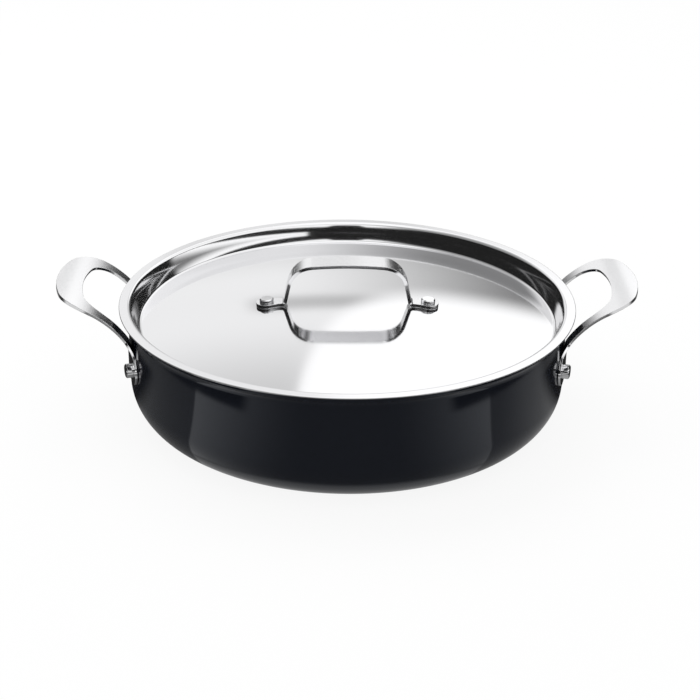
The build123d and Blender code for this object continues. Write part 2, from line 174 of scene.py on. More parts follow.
class Finishes(bpy.types.PropertyGroup):
    """Colours of the finishes."""
    shell: colour("Shell", (0.0052, 0.0062, 0.0094), "Dark anodised outside of the pan")
    inside: colour("Inside", (0.022, 0.022, 0.024), "Dark coating inside the pan")
    lid_steel: colour("Lid steel", (0.80, 0.80, 0.81), "Polished steel of the lid")
    handle_steel: colour("Handle steel", (0.84, 0.84, 0.85), "Steel of handles and rivets")
    base_steel: colour("Base steel", (0.60, 0.60, 0.61), "Turned steel of the disc")
    floor: colour("Floor", (0.96, 0.96, 0.96), "Studio floor")


class BraiserSettings(bpy.types.PropertyGroup):
    """All settings of the braiser."""
    pan: PointerProperty(name="Pan", description="Pan and base disc", type=PanSizes)
    lid: PointerProperty(name="Lid", description="Dished lid", type=LidSizes)
    strap: PointerProperty(name="Strap", description="Strap handle of the lid", type=StrapSizes)
    loop: PointerProperty(name="Loop", description="Loop handles of the pan", type=LoopSizes)
    rivets: PointerProperty(name="Rivets", description="Rivets", type=RivetSizes)
    finishes: PointerProperty(name="Finishes", description="Colours", type=Finishes)


# ---------------------------------------------------------------------------------------------
# Lines in a plane, as arrays of points

FLAT_ROW = 0.0004  # from a rounding's end to a row of points on the flat
STRAIGHT_STOPS = np.array([0.0, 0.04, 0.5, 0.96, 1.0])  # rows of points along a straight


def normal_of(heading):
    """Unit vector a quarter turn left of a heading: (-sin, cos)."""
    return np.stack([-np.sin(heading), np.cos(heading)], axis=-1)


def arc(centre, radius, start, end, count):
    """Points centre + radius (cos t, sin t), for t from start to end in radians."""
    turn = np.linspace(start, end, count)
    return np.asarray(centre) + radius * np.stack([np.cos(turn), np.sin(turn)], axis=-1)


def follow(start, heading, runs, per_bend):
    """Points and headings along straights ("line", length) and arcs ("bend", radius, signed turn).

    A straight adds length times (cos, sin) of the heading. On an arc the point is the centre, which
    lies a radius to the side it turns to, less the side's normal times the radius at each heading.
    """
    place = np.asarray(start, float)
    points, headings = [place[None]], [np.array([heading])]
    for run in runs:
        if run[0] == "line":
            steps = STRAIGHT_STOPS[:, None] * run[1]
            way = np.array([math.cos(heading), math.sin(heading)])
            points.append(place + steps * way)
            headings.append(np.full(len(steps), heading))
        else:
            radius, turn = run[1], run[2]
            side = math.copysign(radius, turn)
            centre = place + side * normal_of(np.array(heading))
            turned = heading + np.linspace(0.0, turn, per_bend)
            points.append(centre - side * normal_of(turned))
            headings.append(turned)
            heading += turn
        place = points[-1][-1]
    return np.concatenate(points), np.concatenate(headings)


def rounded_line(corners, radii, count=8):
    """Polyline with its corners rounded: each arc touches both sides, its centre on the bisector.

    A row of points close to each end of every straight keeps the shading of the flats flat.
    """
    corners = np.asarray(corners, float)
    pieces = [corners[:1]]
    for i in range(1, len(corners) - 1):
        radius = radii[i]
        back = corners[i - 1] - corners[i]
        ahead = corners[i + 1] - corners[i]
        back /= np.linalg.norm(back)
        ahead /= np.linalg.norm(ahead)
        if radius == 0.0:
            pieces.append(corners[i][None])
            continue
        half = math.acos(np.clip(back @ ahead, -1, 1)) / 2
        touch = radius / math.tan(half)
        bisector = (back + ahead) / np.linalg.norm(back + ahead)
        centre = corners[i] + bisector * radius / math.sin(half)
        first = corners[i] + back * touch - centre
        last = corners[i] + ahead * touch - centre
        start = math.atan2(first[1], first[0])
        turn = (math.atan2(last[1], last[0]) - start + math.pi) % (2 * math.pi) - math.pi
        rows = arc(centre, radius, start, start + turn, count)
        reach = touch + min(radius, FLAT_ROW)
        pieces += [(corners[i] + back * reach)[None], rows, (corners[i] + ahead * reach)[None]]
    pieces.append(corners[-1:])
    return np.concatenate(pieces)


# ---------------------------------------------------------------------------------------------
# Surfaces

SHARP_ANGLE = math.radians(40)          # between faces, from which their edge is shaded sharp


def mesh_piece(name, points, faces, materials, kinds, body, replaced):
    """Adds an object with a closed mesh, its normals outwards, that stands for a CAD node.

    The kinds give each face the number of its material.
    """
    mesh = bpy.data.meshes.new(name)
    mesh.from_pydata(points.tolist(), [], faces)
    for material in materials:
        mesh.materials.append(material)
    mesh.polygons.foreach_set("material_index", np.broadcast_to(kinds, len(faces)).astype(np.int32))
    work = bmesh.new()
    work.from_mesh(mesh)
    bmesh.ops.remove_doubles(work, verts=work.verts, dist=1e-6)
    if work.calc_volume(signed=True) < 0:
        bmesh.ops.reverse_faces(work, faces=work.faces)
    gaps = sum(len(edge.link_faces) != 2 for edge in work.edges)
    work.to_mesh(mesh)
    work.free()
    if gaps:
        raise RuntimeError(f"{name} has {gaps} edges that don't join two faces")
    mesh.polygons.foreach_set("use_smooth", np.ones(len(mesh.polygons), bool))
    mesh.set_sharp_from_angle(angle=SHARP_ANGLE)
    piece = bpy.data.objects.new(name, mesh)
    bpy.context.scene.collection.objects.link(piece)
    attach(piece, body)
    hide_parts(replaced)


def turned_surface(profile, around):
    """Surface of revolution: row i, column j is at (r cos t, r sin t, z) of profile point i.

    The profile runs from the axis to the axis, with the solid on its left, so that the faces
    point outwards.
    """
    profile = np.asarray(profile)
    keep = np.r_[True, np.linalg.norm(np.diff(profile, axis=0), axis=1) > 2e-6]
    profile = profile[keep]
    turn = np.linspace(0.0, 2 * math.pi, around, endpoint=False)
    radius, height = profile[1:-1].T
    rings = np.stack([
        radius[:, None] * np.cos(turn),
        radius[:, None] * np.sin(turn),
        np.repeat(height[:, None], around, axis=1)], axis=-1)
    poles = np.array([[0.0, 0.0, profile[0, 1]], [0.0, 0.0, profile[-1, 1]]])
    points = np.concatenate([rings.reshape(-1, 3), poles])
    rows = len(radius)
    i = np.arange(rows - 1)[:, None] * around
    j = np.arange(around)[None, :]
    k = (j + 1) % around
    quads = np.stack([i + j, i + k, i + around + k, i + around + j], axis=-1).reshape(-1, 4)
    j, k = j[0], k[0]
    last = (rows - 1) * around
    low = np.stack([np.full(around, rows * around), k, j], axis=-1)
    high = np.stack([last + j, last + k, np.full(around, rows * around + 1)], axis=-1)
    return points, quads.tolist() + low.tolist() + high.tolist()


def placed(points, origin, axis):
    """Points turned so that their +Z lies along an axis, then moved to an origin."""
    turn = np.array(Vector((0.0, 0.0, 1.0)).rotation_difference(Vector(axis)).to_matrix())
    return points @ turn.T + np.asarray(origin)


def plate_surface(edge, middle, place, rounding):
    """Closed surface of a bent plate, as one cross-section carried round the plate's outline.

    Each station has a point on the outline and one on the middle line, both in the flat blank. The
    section starts on the middle line of the top face, runs out to the edge, goes round it in two
    quarter circles with the edge face between them, and comes back along the bottom face. A point
    is edge + inset times the direction to the middle, lifted by core (t / 2 - r) + skin off the
    middle of the plate, where t is its thickness and r the rounding. Also returns which faces
    belong to the edge.
    """
    flat_rows, curve_rows, flat_start = 6, 7, rounding * 1.6
    inward = middle - edge
    reach = np.linalg.norm(inward, axis=1)[:, None]
    inward = inward / reach
    flat = flat_start + np.linspace(1.0, 0.0, flat_rows)[None, :] * (reach - flat_start)
    turn = np.linspace(math.pi / 2, 0.0, curve_rows)
    curve = np.repeat(rounding * (1 - np.cos(turn))[None, :], len(edge), axis=0)
    face = np.array([0.75, 0.0, -0.75])
    outmost = np.zeros((len(edge), len(face)))
    inset = np.concatenate([flat, curve, outmost, curve[:, ::-1], flat[:, ::-1]], axis=1)
    core = np.r_[np.ones(flat_rows + curve_rows), face, -np.ones(curve_rows + flat_rows)]
    skin = np.r_[np.full(flat_rows, rounding), rounding * np.sin(turn), np.zeros(len(face)),
                 -rounding * np.sin(turn[::-1]), np.full(flat_rows, -rounding)]
    blank = edge[:, None, :] + inward[:, None, :] * inset[:, :, None]
    columns = inset.shape[1]
    core = np.repeat(core[None, :], len(edge), axis=0)
    skin = np.repeat(skin[None, :], len(edge), axis=0)
    points = place(blank[..., 0], blank[..., 1], core, skin, rounding).reshape(-1, 3)
    i = np.arange(len(edge))[:, None]
    j = np.arange(columns - 1)[None, :]
    after = (i + 1) % len(edge)
    here, there = i * columns + j, after * columns + j
    quads = np.stack([here, there, there + 1, here + 1], axis=-1).reshape(-1, 4)
    at_edge = (j >= flat_rows) & (j < columns - 1 - flat_rows)
    at_edge = np.broadcast_to(at_edge, (len(edge), columns - 1)).reshape(-1)
    return points, quads.tolist(), at_edge


# ---------------------------------------------------------------------------------------------
# Pan and base disc

SEAT_ROUNDING = 0.0003          # of the lower edge of the disc's seat
WALL_ROW = 0.001                # from the flare's start down to a row on the upright wall
DISC_AIR = 0.00002              # over the disc in its seat


def pan_profile(pan):
    """Section of the pan, from the middle of its underside to the middle of its floor.

    The flare under the rim and the lip over it are arcs about one centre. The rim's two roundings
    touch those arcs and the upright strip between them. The height of their centres over that one
    is the root of the squared sum of the radii (their difference for the upper rounding) less the
    squared distance out.
    """
    bottom = pan.disc_proud
    seat = pan.radius - pan.corner - pan.disc_margin + pan.seat_clearance
    inner = pan.radius - pan.wall
    out = pan.flare - pan.rim_overhang + pan.rim_rounding
    centre_r = pan.radius + pan.flare
    low = math.sqrt((pan.flare + pan.rim_rounding) ** 2 - out ** 2)
    high = math.sqrt((pan.flare + pan.wall - pan.rim_rounding) ** 2 - out ** 2)
    centre_z = pan.height - pan.rim_rounding - high
    edge_r = centre_r - out
    low_turn, high_turn = math.atan2(low, -out), math.atan2(high, -out)
    outside = rounded_line(
        [(0.0, pan.disc_thickness), (seat, pan.disc_thickness), (seat, bottom),
         (pan.radius, bottom), (pan.radius, centre_z)],
        [0.0, 0.0, SEAT_ROUNDING, pan.corner, 0.0], count=36)
    inside = rounded_line(
        [(inner, centre_z), (inner, bottom + pan.base), (0.0, bottom + pan.base)],
        [0.0, pan.corner - pan.wall, 0.0], count=32)
    return np.concatenate([
        outside[:-1],
        [(pan.radius, centre_z - WALL_ROW)],
        arc((centre_r, centre_z), pan.flare, math.pi, low_turn, 14),
        arc((edge_r, centre_z + low), pan.rim_rounding, low_turn - math.pi, 0.0, 8),
        arc((edge_r, centre_z + high), pan.rim_rounding, 0.0, high_turn, 10),
        arc((centre_r, centre_z), pan.flare + pan.wall, high_turn, math.pi, 14),
        [(inner, centre_z - WALL_ROW)],
        inside[1:],
    ])


def disc_profile(pan):
    """Section of the steel disc, rounded at its lower edge."""
    radius = pan.radius - pan.corner - pan.disc_margin
    top = pan.disc_thickness - DISC_AIR
    return rounded_line(
        [(0.0, 0.0), (radius, 0.0), (radius, top), (0.0, top)], [0.0, pan.disc_rounding, 0.0, 0.0])


# ---------------------------------------------------------------------------------------------
# Lid and its strap handle

STATION_RUN = 0.0016                    # most of the strap's length between two stations
STATION_BEND = math.radians(2.4)        # most of its turn between them


def dome_reach(pan, lid):
    """Distance out to the dome's edge: the lid's radius less the widths of flange and step."""
    return pan.radius + pan.rim_overhang + lid.overhang - lid.flange - lid.step


def lid_middle(pan, lid):
    """Middle line of the lid's sheet from the crown to the flange, as points and headings.

    The dome's radius is (reach squared + rise squared) / twice the rise. The wall of the step is
    two long arcs that meet halfway, where it is steepest. They fill the width that the step's two
    tight arcs leave, and the crown gets the height that brings the flange to its place over the
    rim.
    """
    reach = dome_reach(pan, lid)
    dome_radius = (reach ** 2 + lid.dome_rise ** 2) / (2 * lid.dome_rise)
    turn = math.asin(reach / dome_radius)
    gentle, steep = lid.step_slope - lid.step_bow, lid.step_slope + lid.step_bow
    half = (lid.step - lid.step_foot * (math.sin(gentle) + math.sin(turn))
            - lid.shoulder * math.sin(gentle)) / 2
    bow = half / (math.sin(steep) - math.sin(gentle))
    rise = (lid.step_foot * (math.cos(turn) - math.cos(gentle))
            + 2 * bow * (math.cos(gentle) - math.cos(steep))
            + lid.shoulder * (1 - math.cos(gentle)))
    flange_level = pan.height + lid.gap + lid.sheet / 2
    crown = flange_level - rise + dome_radius * (1 - math.cos(turn))
    runs = [
        ("bend", dome_radius, -turn),
        ("bend", lid.step_foot, turn + gentle),
        ("bend", bow, steep - gentle),
        ("bend", bow, gentle - steep),
        ("bend", lid.shoulder, -gentle),
        ("line", lid.flange - lid.rounding),
    ]
    points, headings = follow((0.0, crown), 0.0, runs, per_bend=28)
    return points, headings, crown, dome_radius


def lid_profile(pan, lid):
    """Section of the lid: the underside out to the flange, round its edge, back over the top."""
    points, headings, _, _ = lid_middle(pan, lid)
    offset = normal_of(headings) * lid.sheet / 2
    end_r, end_z = points[-1]
    side = lid.sheet / 2 - lid.rounding
    return np.concatenate([
        points - offset,
        arc((end_r, end_z - side), lid.rounding, -math.pi / 2, 0.0, 7),
        arc((end_r, end_z + side), lid.rounding, 0.0, math.pi / 2, 7),
        (points + offset)[::-1],
    ])


def strap_foot_place(settings):
    """Distance out, height and tilt of the strap's middle where its right rivet goes through.

    The tilt's sine is the distance out over the distance from the dome's centre.
    """
    _, _, crown, dome_radius = lid_middle(settings.pan, settings.lid)
    strap = settings.strap
    reach = dome_radius + settings.lid.sheet / 2 + strap.seat_gap + strap.thickness / 2
    tilt = math.asin(strap.rivet_offset / reach)
    return strap.rivet_offset, crown - dome_radius + reach * math.cos(tilt), tilt


def strap_line(settings):
    """Middle line of the strap's right half, from the top of the arch to the end of the foot.

    The leg's length is the height that the corner and the crown leave to it, over the sine of its
    slope less the cosine times the crown's fall per distance out. Returns the run length,
    distance out, height and heading of its points, as arrays.
    """
    strap = settings.strap
    foot_x, foot_z, tilt = strap_foot_place(settings)
    leg_offset = strap.rivet_offset - strap.foot_length
    rise_angle = math.pi / 2 - strap.leg_lean
    setback = strap.foot_bend * math.tan((rise_angle - tilt) / 2)
    cross_z = foot_z + (foot_x - leg_offset) * math.sin(tilt)
    corner_run = strap.corner * (math.sin(rise_angle) - math.sin(strap.crown_slope))
    corner_rise = strap.corner * (math.cos(strap.crown_slope) - math.cos(rise_angle))
    crown_share = (1 - math.cos(strap.crown_slope)) / math.sin(strap.crown_slope)
    leg = ((foot_z + strap.arch_height - cross_z - corner_rise
            - (leg_offset - corner_run) * crown_share)
           / (math.sin(rise_angle) - math.cos(rise_angle) * crown_share))
    crown_half = leg_offset - corner_run - leg * math.cos(rise_angle)
    runs = [
        ("bend", crown_half / math.sin(strap.crown_slope), -strap.crown_slope),
        ("bend", strap.corner, strap.crown_slope - rise_angle),
        ("line", leg - setback),
        ("bend", strap.foot_bend, rise_angle - tilt),
        ("line", strap.foot_length + strap.foot_radius * 2),
    ]
    points, headings = follow((0.0, foot_z + strap.arch_height), 0.0, runs, per_bend=160)
    keep = np.r_[True, np.linalg.norm(np.diff(points, axis=0), axis=1) > 1e-7]
    points, headings = points[keep], headings[keep]
    run = np.r_[0.0, np.cumsum(np.linalg.norm(np.diff(points, axis=0), axis=1))]
    return run, points[:, 0], points[:, 1], headings


def strap_half_width(strap, out):
    """Half width at a distance out: full, then two arcs down to the neck and one up to the foot.

    Each arc is its centre's height plus or less the root of (radius squared - distance squared).
    Also returns the distance out where the last arc touches the foot's circle, and the circle's
    angle there.
    """
    half, neck = strap.width / 2, strap.neck_width / 2
    neck_x = strap.rivet_offset - strap.foot_length + strap.foot_bend / 2
    gap = strap.rivet_offset - neck_x
    waist = (gap ** 2 + neck ** 2 - strap.foot_radius ** 2) / (2 * (strap.foot_radius - neck))
    towards = np.array([neck_x - strap.rivet_offset, neck + waist])
    towards = towards / np.linalg.norm(towards)
    touch_x = strap.rivet_offset + towards[0] * strap.foot_radius
    turn = 2 * math.atan((half - neck) / (neck_x - strap.taper_start))
    taper = (neck_x - strap.taper_start) / math.sin(turn) * strap.taper_share
    lower = taper / strap.taper_share - taper
    taper_end = strap.taper_start + taper * math.sin(turn)
    first = half - taper + np.sqrt(np.maximum(taper ** 2 - (out - strap.taper_start) ** 2, 0))
    second = neck + lower - np.sqrt(np.maximum(lower ** 2 - (neck_x - out) ** 2, 0))
    third = neck + waist - np.sqrt(np.maximum(waist ** 2 - (out - neck_x) ** 2, 0))
    width = np.select(
        [out < strap.taper_start, out < taper_end, out < neck_x], [half, first, second], third)
    return width, touch_x, math.atan2(towards[1], towards[0])


def strap_surface(settings):
    """The strap handle: its cross-section is carried round an outline that rounds both feet.

    Stations lie evenly along the sum of the run over one step's length and the turn over one
    step's turn.
    """
    strap = settings.strap
    run, out, height, heading = strap_line(settings)
    _, touch_x, touch_turn = strap_half_width(strap, np.zeros(1))
    touch_run, rivet_run = np.interp([touch_x, strap.rivet_offset], out, run)
    bends = np.abs(np.diff(heading, append=heading[-1]))
    effort = np.cumsum(np.r_[0.0, np.diff(run)] / STATION_RUN + bends / STATION_BEND)
    stop = np.interp(touch_run, run, effort)
    stations = np.interp(np.linspace(0.0, stop, int(stop) + 2), effort, run)
    width, _, _ = strap_half_width(strap, np.interp(stations, run, out))
    fan = arc((rivet_run, 0.0), strap.foot_radius, touch_turn, 0.0, 28)[1:]
    quarter = np.concatenate([np.stack([stations, width], axis=-1), fan])
    centre = np.concatenate([
        np.stack([stations, 0 * stations], axis=-1), np.tile([rivet_run, 0.0], (len(fan), 1))])
    half = np.concatenate([quarter, quarter[-2::-1] * (1, -1)])
    half_centre = np.concatenate([centre, centre[-2::-1]])
    edge = np.concatenate([half, half[-2:0:-1] * (-1, 1)])
    middle = np.concatenate([half_centre, half_centre[-2:0:-1] * (-1, 1)])

    def place(along, across, core, skin, rounding):
        """Blank to space: the middle line at that run, lifted along its normal, or mirrored."""
        distance = np.abs(along)
        lean = np.interp(distance, run, heading)
        lift = core * (strap.thickness / 2 - rounding) + skin
        x = np.interp(distance, run, out) - np.sin(lean) * lift
        z = np.interp(distance, run, height) + np.cos(lean) * lift
        return np.stack([np.where(along < 0, -x, x), across, z], axis=-1)

    return plate_surface(edge, middle, place, strap.rounding)


# ---------------------------------------------------------------------------------------------
# Loop handles

def foot_frame(settings):
    """Middle of the right front foot's plane at rivet height, its two directions and its angle.

    Outward is (cos, -sin) of the angle and sideways (sin, cos), and the angle is the one at which
    the foot's inner edge lies half the opening from the middle.
    """
    loop = settings.loop
    radius = settings.pan.radius + loop.seat_gap + loop.leg_thickness / 2
    turn = (math.asin(loop.opening_half / math.hypot(radius, loop.foot_radius))
            + math.atan(loop.foot_radius / radius))
    outward = np.array([math.cos(turn), -math.sin(turn), 0.0])
    sideways = np.array([math.sin(turn), math.cos(turn), 0.0])
    return outward * radius + (0.0, 0.0, loop.rivet_height), outward, sideways, turn


def loop_outline(loop, tip):
    """Outline and middle line of half a loop from the tip to the foot, in the flat blank.

    The blank's first coordinate is the distance out past the start of the legs' turn, runs from
    0 to -1 through that turn, and is then the height above the rivet less the foot's rise and
    less 1. The second is the distance from the middle, and below the arms the distance from the
    middle of the leg, moved to the middle of the arm. Each station of the outer edge has a
    partner on the inner one, and both share the point halfway.
    """
    flare = loop.foot_flare
    arm = loop.opening_half + loop.arm_width / 2
    edges = []
    for reach, half, tip_radius, corner in (
            (tip, loop.opening_half + loop.arm_width, loop.outer_tip, loop.outer_corner),
            (tip - loop.grip_width, loop.opening_half, loop.inner_tip, loop.inner_corner)):
        centre = reach - tip_radius
        corner_x = centre + math.sqrt((tip_radius - corner) ** 2 - (half - corner) ** 2)
        meet = math.atan2(half - corner, corner_x - centre)
        down = np.linspace(1.0, 0.0, 40)[1:, None]
        edges.append(np.concatenate([
            arc((centre, 0.0), tip_radius, 0.0, -meet, 16),
            arc((corner_x, corner - half), corner, -meet, -math.pi / 2, 26)[1:],
            np.concatenate([corner_x * down, np.full_like(down, -half)], axis=1),
        ]))
    outer, inner = edges
    foot_width = leg_width(loop)
    low = np.linspace(0.0, -1.0, 20)[1:]
    width = loop.arm_width + (foot_width - loop.arm_width) * -low
    outer = np.concatenate([outer, np.stack([low, -arm - width / 2], axis=-1)])
    inner = np.concatenate([inner, np.stack([low, -arm + width / 2], axis=-1)])
    shared = (outer + inner) / 2
    # In the foot: sideways distance from the rivet, and height above it.
    fall = np.linspace(0.0, 1.0, 9)[1:]
    side = loop.foot_radius - foot_width
    line = np.stack([
        side + (-loop.foot_radius * math.cos(flare) - side) * fall,
        loop.foot_rise + (loop.foot_radius * math.sin(flare) - loop.foot_rise) * fall], axis=-1)
    above = loop.foot_rise * (1 - fall)
    inner_line = np.stack([np.full_like(fall, loop.foot_radius), above], axis=-1)
    ring = arc((0.0, 0.0), loop.foot_radius, math.pi - flare, 2 * math.pi, 44)[1:-1]
    leg_side = loop.foot_radius - foot_width / 2
    lean = np.stack([leg_side * (1 - fall), above], axis=-1)

    def to_blank(points):
        """Foot coordinates to blank coordinates."""
        return np.stack(
            [points[:, 1] - loop.foot_rise - 1.0, points[:, 0] - leg_side - arm], axis=-1)

    edge = np.concatenate([
        outer, to_blank(line), to_blank(ring), to_blank(inner_line)[::-1], inner[::-1]])
    middle = np.concatenate([
        shared, to_blank(lean), to_blank(np.zeros_like(ring)), to_blank(lean)[::-1], shared[::-1]])
    return edge, middle


def leg_width(loop):
    """Width of a leg where it starts to lean out, set by the spread of its outer edge."""
    rise = loop.foot_rise - loop.foot_radius * math.sin(loop.foot_flare)
    return loop.foot_radius * (1 + math.cos(loop.foot_flare)) - rise * math.tan(loop.foot_flare)


def loop_surface(settings):
    """The right loop handle: a plate bent up out of the legs and thicker towards the grip.

    The plate's middle line is an arc and a straight. The legs' cross-sections turn about the lower
    bend and twist to the foot's plane at the same time; the feet are flat in that plane.
    """
    loop = settings.loop
    origin, outward, sideways, twist = foot_frame(settings)
    bend_height = loop.rivet_height + loop.foot_rise
    arm_y = -(loop.opening_half + loop.arm_width / 2)
    foot_side = loop.foot_radius - leg_width(loop) / 2
    arm_base = origin + sideways * ((arm_y - origin[1]) / sideways[1])
    foot_base = origin + sideways * foot_side
    steep = loop.arm_slope
    start = np.array([
        arm_base[0] + loop.lower_bend * (1 - math.sin(steep)),
        bend_height + loop.lower_bend * math.cos(steep)])
    fall = 1 - math.cos(steep - loop.grip_slope)
    bottom_radius = loop.upper_bend - (loop.grip_thickness - loop.leg_thickness * (1 - fall)) / fall
    radius = (loop.upper_bend + bottom_radius) / 2
    spread = loop.upper_bend - bottom_radius
    centre = start - normal_of(np.array(steep)) * radius
    bend_end = centre + normal_of(np.array(loop.grip_slope)) * radius
    half, half_middle = loop_outline(loop, settings.pan.radius + loop.reach - start[0])
    edge = np.concatenate([half, half[-2:0:-1] * (1, -1)])
    middle = np.concatenate([half_middle, half_middle[-2:0:-1] * (1, -1)])

    def place(along, across, core, skin, rounding):
        """Blank to space, for the front half and mirrored for the back one."""
        side = np.where(across > 0, -1.0, 1.0)
        across = -np.abs(across)
        # Plate: the arc's slope at each distance out, then the straight.
        out = start[0] + np.maximum(along, 0.0)
        slope = np.arcsin(np.clip((centre[0] - out) / radius, -1, 1))
        slope = np.where(out > bend_end[0], loop.grip_slope, slope)
        high = np.where(
            out > bend_end[0], bend_end[1] + (out - bend_end[0]) * math.tan(loop.grip_slope),
            centre[1] + radius * np.cos(slope))
        thick = spread - (spread - loop.leg_thickness) * np.cos(steep - slope)
        lift = core * (thick / 2 - rounding) + skin
        plate = np.stack([out - np.sin(slope) * lift, across, high + np.cos(slope) * lift], axis=-1)
        # Leg: centre and directions of the cross-section between arm and foot.
        lift = core * (loop.leg_thickness / 2 - rounding) + skin
        part = np.clip(-along, 0.0, 1.0)
        slope = steep + (math.pi / 2 - steep) * part
        turned = twist * part
        base = arm_base * (1 - part[..., None]) + foot_base * part[..., None]
        side_way = across - arm_y
        leg = np.stack([
            base[..., 0] + loop.lower_bend * (1 - np.sin(slope)) + np.sin(turned) * side_way
            - np.sin(slope) * np.cos(turned) * lift,
            base[..., 1] + np.cos(turned) * side_way + np.sin(slope) * np.sin(turned) * lift,
            bend_height + loop.lower_bend * np.cos(slope) + np.cos(slope) * lift], axis=-1)
        # Foot: sideways and up in its plane, lifted along its normal.
        foot = (origin + sideways * (side_way + foot_side)[..., None] - outward * lift[..., None])
        foot[..., 2] += loop.foot_rise + along + 1.0
        low = np.where((along >= -1)[..., None], leg, foot)
        spot = np.where((along >= 0)[..., None], plate, low)
        spot[..., 1] *= side
        return spot

    return plate_surface(edge, middle, place, loop.rounding)


# ---------------------------------------------------------------------------------------------
# Rivets

def rivet_profile(rivets, head, head_height, shank, grip, end, end_length, bevel):
    """Section of a rivet along +Z: a domed head below zero, the shank and a bevelled round end.

    The dome is an arc that starts level on the axis and ends at the head's upright rim; its
    radius is (head squared + rise squared) / twice the rise.
    """
    rim = head_height * rivets.rim_share
    dome = (head ** 2 + (head_height - rim) ** 2) / (2 * (head_height - rim))
    turn = math.asin(head / dome)
    top = grip + end_length
    # The line's first point is a hair before the end of the dome.
    corners = [
        (head - 1e-5, -rim - 2e-6), (head, -rim), (head, 0.0), (shank, 0.0), (shank, grip),
        (end, grip), (end, top - bevel), (end - bevel, top), (0.0, top)]
    radii = [0.0] * 5 + [rivets.rounding / 2, rivets.rounding, rivets.rounding, 0.0]
    return np.concatenate([
        arc((0.0, dome - head_height), dome, -math.pi / 2, turn - math.pi / 2, 14)[:-1],
        rounded_line(corners, radii, count=6),
    ])


def pan_rivet_surface(settings, side_x, side_y):
    """One rivet of a loop handle; its axis is square to the handle's foot."""
    rivets, loop = settings.rivets, settings.loop
    origin, outward, _, _ = foot_frame(settings)
    inner = settings.pan.radius - settings.pan.wall
    seat = math.sqrt(inner ** 2 - rivets.pan_head ** 2) - rivets.seat_gap
    plane = math.hypot(origin[0], origin[1])
    grip = plane + loop.leg_thickness / 2 + rivets.seat_gap - seat
    points, faces = turned_surface(rivet_profile(
        rivets, rivets.pan_head, rivets.pan_head_height, rivets.pan_shank, grip,
        rivets.pan_end, rivets.pan_end_length, rivets.pan_bevel), around=96)
    axis = outward * (side_x, -side_y, 1.0)
    return placed(points, axis * seat + (0.0, 0.0, loop.rivet_height), axis), faces


def lid_rivet_surface(settings, side):
    """One rivet of the strap handle; its axis is square to the strap's foot."""
    rivets, strap = settings.rivets, settings.strap
    out, height, tilt = strap_foot_place(settings)
    below = strap.thickness / 2 + strap.seat_gap + settings.lid.sheet + rivets.seat_gap
    points, faces = turned_surface(rivet_profile(
        rivets, rivets.lid_head, rivets.lid_head_height, rivets.lid_shank,
        below + strap.thickness / 2 + rivets.seat_gap,
        rivets.lid_end, rivets.lid_end_length, rivets.lid_bevel), around=96)
    axis = np.array([side * math.sin(tilt), 0.0, math.cos(tilt)])
    return placed(points, np.array([side * out, 0.0, height]) - axis * below, axis), faces


# ---------------------------------------------------------------------------------------------
# Finishes

DEGREES = 180 / math.pi                 # in a radian
NOISE_RANGE = (0.3, 0.7)                # where nearly all of a noise's values lie
RING_ROUGHNESS = (0.08, 0.10)           # of the lid outside its dome
DOME_ROUGHNESS = (0.06, 0.085)
SATIN_ROUGHNESS = (0.17, 0.22)          # of the handles' faces
POLISHED_ROUGHNESS = (0.07, 0.10)       # of the handles' edges and of the rivets
LOW_ROUGHNESS = 0.08                    # of all handle steel below the first of these heights
LOW_HEIGHTS = (0.060, 0.078)


def feed(tree, socket, value):
    """Links another node's output to an input, or sets the input's number or colour."""
    if isinstance(value, bpy.types.NodeSocket):
        tree.links.new(value, socket)
    else:
        socket.default_value = value


def node(tree, kind, *first, **named):
    """Outputs of a new shader node, whose first inputs are given in order.

    What is named are its attributes, or else its inputs by their label.
    """
    made = tree.nodes.new(kind)
    for key, value in named.items():
        if hasattr(made, key):
            setattr(made, key, value)
        else:
            feed(tree, made.inputs[key.replace("_", " ")], value)
    for socket, value in zip(made.inputs, first):
        feed(tree, socket, value)
    return made.outputs


def sums(tree, operation, *values):
    """Math node on sockets and numbers; returns its output."""
    return node(tree, "ShaderNodeMath", *values, operation=operation)[0]


def eased(tree, value, low, high, start=0.0, end=1.0):
    """Start below low and end above high, with a smooth step between them."""
    return node(tree, "ShaderNodeMapRange", value, low, high, start, end,
                interpolation_type="SMOOTHSTEP")[0]


def spread(tree, noise, low, high):
    """From low to high with a noise."""
    return eased(tree, noise, *NOISE_RANGE, low, high)


def blank_material(name, metallic):
    """Material with its principled shader, and the tree and object coordinates to work with."""
    material = bpy.data.materials.new(name)
    material.use_nodes = True
    tree = material.node_tree
    shader = tree.nodes["Principled BSDF"]
    shader.inputs["Metallic"].default_value = metallic
    return material, tree, shader, node(tree, "ShaderNodeTexCoord")["Object"]


def mottle(tree, vector, scale, detail=2.0):
    """Noise between nothing and one at a scale per metre."""
    return node(tree, "ShaderNodeTexNoise", vector, Scale=scale, Detail=detail)["Fac"]


def tinted(tree, shader, value, noise, low, high):
    """Base colour times a number that goes from low to high with a noise."""
    scale = spread(tree, noise, low, high)
    made = node(tree, "ShaderNodeVectorMath", tuple(value), operation="SCALE", Scale=scale)
    tree.links.new(made[0], shader.inputs["Base Color"])


def bumped(tree, shader, height, strength, distance):
    """Bump of a given depth in metres."""
    made = node(tree, "ShaderNodeBump", Strength=strength, Distance=distance, Height=height)
    tree.links.new(made[0], shader.inputs["Normal"])


def rings(tree, coordinates, scale, detail=3.0):
    """Noise of the distance from the upright axis only, as a lathe leaves it, and the distance."""
    flat = node(tree, "ShaderNodeVectorMath", coordinates, (1.0, 1.0, 0.0), operation="MULTIPLY")
    distance = node(tree, "ShaderNodeVectorMath", flat[0], operation="LENGTH")["Value"]
    along = node(tree, "ShaderNodeCombineXYZ", distance)
    return mottle(tree, along[0], scale, detail), distance


